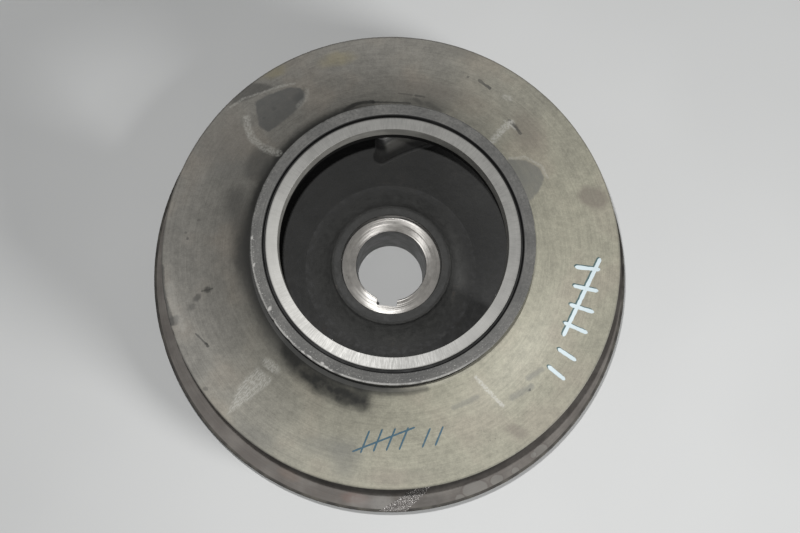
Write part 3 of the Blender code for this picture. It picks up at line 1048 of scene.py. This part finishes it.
def cast_skin(name, tone, tinge=None):
    """Dark, finely grained skin of the casting. tinge is a function that changes its colour by place."""
    look = Look(name)
    sand = noise_at(look.point, 0.8, 3.0, 0.65)
    lumps = noise_at(look.point, 4.0, 3.0, 0.6)
    clouds = noise_at(look.point, 26.0, 3.0, 0.55)
    colour = blend(ramp(clouds, 0.35, 0.7), tone, tuple(part * 1.2 for part in tone))
    colour = scaled(colour, swing(lumps, 0.14) + swing(sand, 0.14) + 1.0)
    rust = ramp(clouds, 0.55, 0.75) * ramp(lumps, 0.5, 0.7, 0.0, 0.3)
    colour = blend(rust, colour, RUST)
    if tinge is not None:
        colour = tinge(look, colour)
    roughness = ramp(lumps, 0.3, 0.7, 0.62, 0.80)
    rough = bumps(lumps, 0.00022)
    return look.finish(colour, roughness, 0.05, bumps(sand, 0.00010, rough))


def near_shaft(look, colour):
    """The boss is a lighter cast tone than the plate; the fillet round it and its rounded edge carry painted
    light, and the plate's east side carries painted shade.
    """
    # painted light on the fillet round the boss, strongest next to the boss and fading out onto the plate
    fillet = ramp(look.radius, 44.0, 60.0, 2.2, 0.92)
    light = fillet - ramp(look.radius, 40.5, 42.5, 0.60, 0.0)
    # painted highlight along the boss's rounded edge and the top of its fillet
    light = light + ramp(look.radius, 39.3, 40.9, 0.0, 1.6) * ramp(look.radius, 41.2, 44.5, 1.0, 0.0)
    # painted shade: the plate is darker on its east side
    painted_shade = ramp(look.towards(EAST), 0.5, 0.95, 0.0, 0.45) * ramp(look.radius, 46.0, 56.0)
    return scaled(colour, light - painted_shade)


def worn_and_shaded_nose(look, colour):
    """Vanes carry painted shade, darkest at the foot, and the water has worn the top of their noses lighter.

    The side of the north vane's nose that lies in the shade is painted near-black as painted shade.
    """
    height = look.height()
    # painted shade: the vane darkens towards its foot by the plate
    colour = scaled(colour, ramp(height, 42.3, 47.0, 0.24, 0.80))
    edge = dot(look.point, NOSE_EDGE_WAY)
    shaded = ramp(edge, 0.2, 3.4, 1.0, 0.0) * ramp(look.towards((0.0, 1.0)), 0.2, 0.6)
    worn = ramp(height, 58.0, 92.0) * ramp(look.radius, 98.0, 82.0) * ramp(height, 119.0, 108.0)
    colour = blend(worn * (1.0 - shaded), colour, VANE_NOSE)
    # painted shade on the shaded side of the north vane's nose
    painted_shade = shaded * ramp(look.radius, 90.0, 84.0) * ramp(height, 86.0, 102.0)
    return blend(painted_shade, colour, SHADE_BLACK)


# Dried drops on the rim band: their tones, and x, y, half length, half width, turn
DROP_TONE = (0.24, 0.235, 0.215)
DROP_EDGE_TONE = (0.085, 0.070, 0.062)
BAND_DROPS = [
    (58.0, -152.0, 9.6, 5.8, 14), (47.6, -158.0, 3.4, 3.0, 10), (73.0, -146.0, 5.0, 3.5, 24),
    (104.0, -126.3, 6.0, 4.2, 38), (99.0, -129.0, 2.4, 1.8, 40), (86.0, -139.5, 3.0, 2.2, 30),
]

# Tints of the rim band: colour, x, y, half length, half width, turn, strength
BAND_TINTS = [
    ((0.150, 0.095, 0.078), -24.5, -158.0, 9.0, 3.6, -8, 0.65),
    ((0.250, 0.242, 0.225), -6.5, -162.0, 8.5, 6.0, -3, 0.60),
    ((0.220, 0.210, 0.195), -22.0, -160.5, 7.0, 4.5, -8, 0.40),
    ((0.060, 0.054, 0.048), 27.0, -160.5, 11.0, 4.5, 10, 0.60),
    ((0.150, 0.108, 0.084), -70.0, -142.0, 8.0, 3.0, -25, 0.40),
]


def band_turned():
    """Grey-brown turned band outside the front shroud's rim, with dried water spots and painted shade along
    its inner edge under the rim.
    """
    look = Look("band_turned")
    clouds = noise_at(look.flat, 18.0)
    mottle = noise_at(look.flat, 3.0, 4.0, 0.65)
    streaks = look.streaks(30.0, 0.6, 160.0)
    colour = blend(ramp(clouds, 0.35, 0.68), *BAND_TONES)
    colour = scaled(colour, swing(mottle, 0.12) + swing(streaks, 0.08) + 1.0)
    # painted shade: the band darkens along its inner edge, under the front shroud's rim
    colour = scaled(colour, ramp(look.radius, 154.0, 156.5, 0.5, 1.0))
    soft = warped(look.flat, 5.0, 1.0)
    for drop in BAND_DROPS:
        colour = blend(patch(soft, *drop, 0.12) * 0.35, colour, DROP_TONE)
        colour = blend(outline(soft, *drop, 0.16) * 0.6, colour, DROP_EDGE_TONE)
    for tint, *oval, strength in BAND_TINTS:
        weight = patch(soft, *oval, 0.5) * ramp(mottle, 0.3, 0.6, 0.4, strength)
        colour = blend(weight, colour, tint)
    roughness = ramp(mottle, 0.3, 0.7, 0.54, 0.68)
    return look.finish(colour, roughness, 0.12, bumps(streaks, 0.00004))


# The neck's bright face, and the way towards which a painted highlight brightens it
NECK_TONE = (0.190, 0.187, 0.176)
LOWER_LEFT = (math.sin(math.radians(246)), math.cos(math.radians(246)))


def neck_turned():
    """Bright machined face with fine marks across it, and a painted highlight towards the lower left."""
    look = Look("neck_face")
    clouds = noise_at(look.flat, 14.0)
    around = look.streaks(30.0, 0.35, 75.0)
    across = look.streaks(0.55, 6.0, 75.0, 3.0, 0.65)
    spots = noise_at(look.flat, 1.3, 3.0, 0.6)
    shade = swing(clouds, 0.08) + ramp(across, 0.25, 0.75, -0.10, 0.10) + swing(around, 0.04)
    shade = shade - ramp(spots, 0.62, 0.75, 0.0, 0.25)
    # painted highlight: the face brightens towards the lower left
    shade = shade + ramp(look.towards(LOWER_LEFT), 0.3, 1.0, 0.0, 0.50)
    roughness = ramp(across, 0.3, 0.7, 0.40, 0.53)
    normal = bumps(across + around * 0.6, 0.00002)
    return look.finish(scaled(NECK_TONE, shade + 1.0), roughness, 0.25, normal)


# Bright spots of the ring's top: its painted glints, its worn edge with a painted highlight, and its knocks
GLINT_TONE = (0.62, 0.61, 0.58)
WORN_EDGE_HIGHLIGHT_TONE = (0.58, 0.57, 0.54)
KNOCK_TONE = (0.42, 0.41, 0.39)

# Small knocks in the ring's top: x, y, half length, half width, turn
RING_KNOCKS = [
    (-83.5, 1.8, 1.0, 0.6, 80), (-82.0, -14.3, 1.2, 0.6, 75), (-72.3, -40.0, 1.5, 0.9, 60),
    (-52.8, -65.4, 1.1, 0.6, -40), (-48.8, -68.0, 1.6, 0.5, -35), (-41.2, -72.0, 1.2, 0.6, -30),
    (-39.1, -74.0, 1.6, 0.5, -28), (-36.2, -76.3, 1.8, 0.5, -25),
]


def ring_top():
    """Dull turned top of the wear ring: mottled, with small bright knocks towards its outer edge, painted
    shade towards the bottom, and painted glints and a painted highlight on the worn outer edge at the lower
    left.
    """
    look = Look("ring_top")
    clouds = noise_at(look.flat, 12.0)
    mottle = noise_at(look.flat, 1.8, 4.0, 0.7)
    around = look.streaks(14.0, 0.4, 81.0)
    colour = blend(ramp(clouds, 0.35, 0.7), *RING_TONES)
    # painted shade: the ring's top darkens towards the bottom
    south_shade = ramp(look.towards((-0.09, -0.996)), 0.80, 1.0, 1.0, 0.72)
    colour = scaled(colour, swing(mottle, 0.26) + swing(around, 0.10) + south_shade)
    # painted glints, most on the lower left side and towards the outer edge
    glint_noise = noise_at(warped(look.flat, 3.0, 0.8), 0.9, 2.0, 0.7)
    low_left = look.towards((-0.45, -0.89))
    where = ramp(low_left, -0.3, 0.8, 0.10, 0.85) * ramp(look.radius, 80.5, 84.2, 0.35, 1.0)
    colour = blend(ramp(glint_noise, 0.60, 0.72) * where, colour, GLINT_TONE)
    # worn outer edge with a painted highlight, on the lower left side
    edge = ramp(look.radius, 83.2, 84.0) * ramp(low_left, 0.2, 0.9, 0.0, 0.40)
    colour = blend(edge * ramp(clouds, 0.36, 0.52, 0.30, 1.0), colour, WORN_EDGE_HIGHLIGHT_TONE)
    crisp = warped(look.flat, 1.5, 0.6)
    for knock in RING_KNOCKS:
        colour = blend(patch(crisp, *knock, 0.5) * 0.7, colour, KNOCK_TONE)
    roughness = ramp(mottle, 0.3, 0.7, 0.60, 0.74)
    return look.finish(colour, roughness, 0.15, bumps(mottle + around, 0.00008))


def ring_side():
    """Outer wall of the wear ring: clean on the right, darkened on the left by dirt and painted shade."""
    look = Look("ring_side")
    cloud = noise_at(look.point, 6.0)
    rings = look.rings()
    # grime and painted shade: the wall darkens towards its left side
    left = ramp(look.towards(COLLAR_WAY), -0.75, -0.25)
    tone = blend(left, *RING_SIDE_TONES)
    colour = scaled(tone, swing(rings, 0.12) + ramp(cloud, 0.3, 0.7, 0.85, 1.15))
    roughness = ramp(cloud, 0.3, 0.7, 0.45, 0.60)
    return look.finish(colour, roughness, 0.10, bumps(rings, 0.00004), shine=0.15)


# The nut seat. Its marks lean by up to the last value, in radians, from the way across it
SEAT_TONE = (0.300, 0.286, 0.265)
SEAT_WIDTH = (SEAT_RADIUS - BORE_RADIUS) * 1000
SEAT_LEAN = math.radians(33)


def seat_turned():
    """Freshly faced nut seat: two sets of fine marks cross and spread the light into split fans."""
    look = Look("seat_turned")
    rings = look.streaks(22.0, 0.22, 29.0)
    smears = look.streaks(9.0, 4.0, 29.0, 3.0)
    mottle = noise_at(look.flat, 2.4, 3.0, 0.6)
    shade = swing(rings, 0.10) + swing(smears, 0.12) + swing(mottle, 0.08) + 1.0
    inward = (SEAT_RADIUS * 1000 - look.radius) / SEAT_WIDTH
    lean = maths("SQRT", maths("MAXIMUM", inward, 0.0)) * SEAT_LEAN
    choice = look.streaks(60.0, 0.26, 29.0, 0.0, 0.5)
    lean = lean * (maths("GREATER_THAN", choice, 0.54) * 2.0 - 1.0)
    around = vector_maths("CROSS_PRODUCT", look.direction, (0.0, 0.0, 1.0))
    outwards = scaled(look.direction, maths("COSINE", lean))
    plug(vector_maths("ADD", outwards, scaled(around, maths("SINE", lean))), look.inputs["Tangent"])
    look.inputs["Anisotropic"].default_value = 0.95
    roughness = ramp(smears, 0.3, 0.7, 0.27, 0.33)
    return look.finish(scaled(SEAT_TONE, shade), roughness, 0.21, bumps(rings, 0.000015))


def bore_wall(name, tone, roughness=0.42, deep=1.0, shine=0.5):
    """Bored wall with fine rings, seen at a low angle. deep is how bright it is at its rear end, as painted
    shade in the bore.
    """
    look = Look(name)
    rings = look.rings()
    cloud = noise_at(look.point, 8.0)
    shade = swing(rings, 0.12) + swing(cloud, 0.12) + 1.0
    # painted shade: the wall darkens towards its rear end
    if deep < 1.0:
        shade = shade * ramp(look.height(), 0.0, 34.0, deep, 1.0)
    rough = ramp(cloud, 0.3, 0.7, roughness - 0.05, roughness + 0.1)
    return look.finish(scaled(tone, shade), rough, 0.2, bumps(rings, 0.00004), shine)


def scar_rough():
    """Torn, sparkling metal of the turned-off vane foot."""
    look = Look("scar_rough")
    grain = noise_at(look.flat, 0.8, 3.0, 0.7)
    lumps = noise_at(look.flat, 2.5, 3.0, 0.6)
    colour = blend(ramp(grain, 0.50, 0.66), *SCAR_TONES)
    colour = scaled(colour, ramp(lumps, 0.3, 0.7, 0.75, 1.2))
    return look.finish(colour, ramp(grain, 0.3, 0.7, 0.6, 0.34), 0.6, bumps(grain, 0.0003))


def rear_turned():
    """Plain turned rear face: grey iron with long marks along the turning and a few old stains."""
    look = Look("rear_turned")
    clouds = noise_at(look.point, 36.0)
    mottle = noise_at(look.point, 5.0, 4.0, 0.6)
    streaks = look.streaks(40.0, 0.8)
    colour = blend(ramp(clouds, 0.35, 0.68), *REAR_TONES)
    colour = scaled(colour, swing(mottle, 0.1) + swing(streaks, 0.1) + 1.0)
    stain = ramp(clouds, 0.6, 0.72) * ramp(mottle, 0.4, 0.7, 0.1, 0.6)
    colour = blend(stain, colour, REAR_STAIN)
    return look.finish(colour, ramp(mottle, 0.3, 0.7, 0.42, 0.58), 0.45, bumps(streaks, 0.00004))


def make_looks():
    """Materials of each part's faces, by the names that the lathed stretches use."""
    rear = rear_turned()
    plate = cast_skin("cast_plate", PLATE_TONE, near_shaft)
    # near-black: painted shade in the grooves, the ledge under the wear ring and the hidden base
    groove = bore_wall("groove_dark", (0.010, 0.010, 0.0095), 0.7)
    side = rim_side()
    return {
        "hub": {
            "rear": rear, "cast": plate, "seat": seat_turned(),
            # recess wall: near-black, as painted shade in the recess round the nut seat
            "recess": bore_wall("recess_wall", (0.022, 0.022, 0.020)),
            # the bore darkens towards its rear end as painted shade
            "bore": bore_wall("bore_wall", (0.092, 0.091, 0.088), deep=0.40),
            "chamfer": bore_wall("chamfer_dark", (0.05, 0.05, 0.048)),
            "keyway": bore_wall("keyway_wall", (0.14, 0.135, 0.13)),
        },
        "back_shroud": {"rear": rear, "side": side, "band": band_turned(), "cast": plate},
        "front_shroud": {"side": side, "face": turned_face(), "shoulder": groove,
                         "cast": cast_skin("cast_inner", CAST_TONE)},
        "neck": {"hidden": groove, "groove": groove, "face": neck_turned(),
                 "wall": bore_wall("eye_wall", (0.185, 0.181, 0.165), 0.5),
                 # flare under the neck: near-black, as painted shade
                 "cast": bore_wall("flare_shade_black", (0.006, 0.006, 0.0057), 0.8, shine=0.1)},
        "wear_ring": {"side": ring_side(), "top": ring_top(), "groove": groove},
        "vane": cast_skin("cast_vane", CAST_TONE, worn_and_shaded_nose),
        "scar": scar_rough(),
    }


# Painted marks

# Fineness of a stroke along its route
STROKE_STEP = 0.0008


def stroke_row(bm, centre, side, half, lift):
    """One section across a stroke: three points above the face, and edges and keel just below it."""
    row = []
    for across in (-1.0, -0.8, 0.0, 0.8, 1.0):
        flat = centre + side * half * across
        height = front_outer(flat.length) + (lift if abs(across) < 0.9 else -0.00005)
        row.append(bm.verts.new((flat.x, flat.y, height)))
    row.append(bm.verts.new((centre.x, centre.y, front_outer(centre.length) - 0.0002)))
    return row


def face_ribbon(name, route, width, lift, material):
    """Brush stroke of paint that follows the turned face. route holds x and y in millimetres."""
    points = [Vector((x / 1000, y / 1000)) for x, y in route]
    fine = []
    for start, end in zip(points, points[1:]):
        steps = max(2, int((end - start).length / STROKE_STEP))
        fine += [start.lerp(end, step / steps) for step in range(steps)]
    fine.append(points[-1])
    bm = bmesh.new()
    rows = []
    total = len(fine) - 1
    for index, centre in enumerate(fine):
        heading = (fine[min(index + 1, total)] - fine[max(index - 1, 0)]).normalized()
        to_end = min(index / total, 1 - index / total) * total * STROKE_STEP
        pinch = min(1.0, math.sqrt(to_end / (width / 2) + 0.08))
        uneven = 1.0 + 0.18 * noise.noise(Vector((centre.x, centre.y, 0)) / 0.002)
        side = Vector((heading.y, -heading.x))
        rows.append(stroke_row(bm, centre, side, width / 2 * pinch * uneven, lift))
    for first, second in zip(rows, rows[1:]):
        for column in range(len(first)):
            after = (column + 1) % len(first)
            bm.faces.new((first[column], first[after], second[after], second[column]))
    bm.faces.new(rows[0])
    bm.faces.new(rows[-1])
    return finish_mesh(name, bm, [material])


def paint(name, tone, thin, bare):
    """Hand-brushed paint, thin enough in places for the iron to show."""
    look = Look(name)
    patchy = noise_at(look.flat, 2.0, 3.0, 0.6)
    bristle = noise_at(look.flat, 0.5, 2.0, 0.6)
    colour = blend(ramp(patchy + bristle * 0.4, thin, thin + 0.22), tone, bare)
    return look.finish(colour, 0.55, normal=bumps(bristle, 0.00005))


def stroke(centre, heading, length):
    """Route of one straight stroke. heading is in degrees from +x."""
    reach = Vector((math.cos(math.radians(heading)), math.sin(math.radians(heading)))) * length / 2
    middle = Vector(centre)
    return [tuple(middle - reach), tuple(middle + reach)]


# Counting strokes: four crossed by a fifth, and two more
WHITE_ROUND = 125.5
WHITE_CROSS = [(134.0, -2.0), (108.0, -52.5)]
WHITE_LAST = [((110.5, -64.0), -32.0), ((103.5, -75.5), -38.0)]
BLUE_FIRST = [(-17, -118), (-9, -117), (-1, -116.5), (7, -116)]
BLUE_CROSS = [(-25.0, -124.0), (14.0, -109.0)]
BLUE_LAST = [(21, -115.5), (29, -114.5)]
BLUE_HEADING = 68.0

# Width and thickness of each kind of stroke, in metres
UNDER_STROKE = (0.0028, 0.00010)
WHITE_STROKE = (0.0027, 0.00022)
BLUE_STROKE = (0.0012, 0.00010)


def make_marks():
    """Plain counting strokes in white paint with a dark shadow, and in blue marker."""
    white = paint("white_paint", (0.52, 0.60, 0.63), 0.86, (0.10, 0.16, 0.16))
    under = paint("teal_underpaint", (0.06, 0.11, 0.11), 0.80, (0.14, 0.15, 0.13))
    blue = paint("blue_marker", (0.040, 0.092, 0.130), 0.82, (0.16, 0.18, 0.16))
    routes = []
    for index in range(4):
        angle = math.radians(94.0 + 6.0 * index)
        centre = (WHITE_ROUND * math.sin(angle), WHITE_ROUND * math.cos(angle))
        routes.append(stroke(centre, -4.0 - 6.0 * index, 17.0))
    routes.append(WHITE_CROSS)
    routes += [stroke(centre, heading, 14.0) for centre, heading in WHITE_LAST]
    pieces = []
    for number, route in enumerate(routes, 1):
        shadow = [(x - 0.7, y + 0.6) for x, y in route]
        pieces.append(face_ribbon("under_stroke_%d" % number, shadow, *UNDER_STROKE, under))
        pieces.append(face_ribbon("white_stroke_%d" % number, route, *WHITE_STROKE, white))
    routes = [stroke(centre, BLUE_HEADING, 15.0) for centre in BLUE_FIRST] + [BLUE_CROSS]
    routes += [stroke(centre, BLUE_HEADING, 13.0) for centre in BLUE_LAST]
    for number, route in enumerate(routes, 1):
        pieces.append(face_ribbon("blue_stroke_%d" % number, route, *BLUE_STROKE, blue))
    return pieces


# Stage

WORLD_STRENGTH = 0.12
LENS_LIGHT = 12.0
LENS_LIGHT_PLACE = (-0.026, -0.062, 0.722)
BROAD_LIGHT = 36.0
BROAD_LIGHT_PLACE = (1.6, -1.0, 0.95)
BROAD_LIGHT_TARGET = (0.05, -0.05, 0.05)


def make_floor():
    """Plain pale floor with a faint unevenness."""
    look = Look("pale_floor")
    cloud = noise_at(look.place, 0.35)
    colour = blend(ramp(cloud, 0.3, 0.7), *FLOOR_TONES)
    bm = bmesh.new()
    bmesh.ops.create_grid(bm, x_segments=1, y_segments=1, size=6.0)
    mesh = bpy.data.meshes.new("floor")
    bm.to_mesh(mesh)
    bm.free()
    mesh.materials.append(look.finish(colour, 0.9))
    floor = bpy.data.objects.new("floor", mesh)
    bpy.context.scene.collection.objects.link(floor)


def make_camera():
    data = bpy.data.cameras.new("camera")
    data.sensor_width = 36.0
    data.lens = CAMERA_LENS
    data.clip_start = 0.01
    camera = bpy.data.objects.new("camera", data)
    bpy.context.scene.collection.objects.link(camera)
    turn = math.radians(CAMERA_TURN)
    axis = Vector((math.cos(turn), math.sin(turn), 0))
    tilt = Matrix.Rotation(math.radians(CAMERA_TILT), 4, axis)
    camera.matrix_world = Matrix.Translation(CAMERA_PLACE) @ tilt
    bpy.context.scene.camera = camera


def add_light(data, place, target, energy):
    data.energy = energy
    light = bpy.data.objects.new(data.name, data)
    bpy.context.scene.collection.objects.link(light)
    light.location = place
    light.rotation_mode = "QUATERNION"
    light.rotation_quaternion = (Vector(target) - Vector(place)).to_track_quat("-Z", "Y")


def make_lights():
    """A soft sky, a broad light from the lower right and a small light close above the lens."""
    scene = bpy.context.scene
    world = bpy.data.worlds.new("studio")
    world.use_nodes = True
    back = world.node_tree.nodes["Background"]
    back.inputs["Color"].default_value = (0.96, 0.98, 1.0, 1.0)
    back.inputs["Strength"].default_value = WORLD_STRENGTH
    scene.world = world
    small = bpy.data.lights.new("lens_light", "POINT")
    small.shadow_soft_size = 0.005
    add_light(small, LENS_LIGHT_PLACE, (0, 0, 0), LENS_LIGHT)
    broad = bpy.data.lights.new("broad_light", "AREA")
    broad.shape = "DISK"
    broad.size = 0.7
    add_light(broad, BROAD_LIGHT_PLACE, BROAD_LIGHT_TARGET, BROAD_LIGHT)
    scene.view_settings.view_transform = "Standard"
    scene.view_settings.look = "None"


def main():
    make_camera()
    make_lights()
    make_floor()
    looks = make_looks()
    dressed = [
        (make_hub(looks["hub"]), "hub", "hub_metal"),
        (make_back_shroud(looks["back_shroud"]), "back_shroud", "back_shroud_metal"),
        (make_front_shroud(looks["front_shroud"]), "front_shroud", "front_shroud_metal"),
        (make_neck(looks["neck"]), "neck", "neck_metal"),
        (make_wear_ring(looks["wear_ring"]), "wear_ring", "ring_metal"),
    ]
    for number in range(1, VANE_COUNT + 1):
        start_angle = VANE_ANGLE + (number - 1) * 360.0 / VANE_COUNT
        dressed.append((make_vane(number, start_angle, looks["vane"]), "vane_%d" % number, "vane_metal"))
    for piece, node, slot in dressed:
        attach(piece, "root")
        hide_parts(node)
    scar = make_scar(looks["scar"])
    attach(scar, "root")
    for mark in make_marks():
        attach(mark, "root")


main()
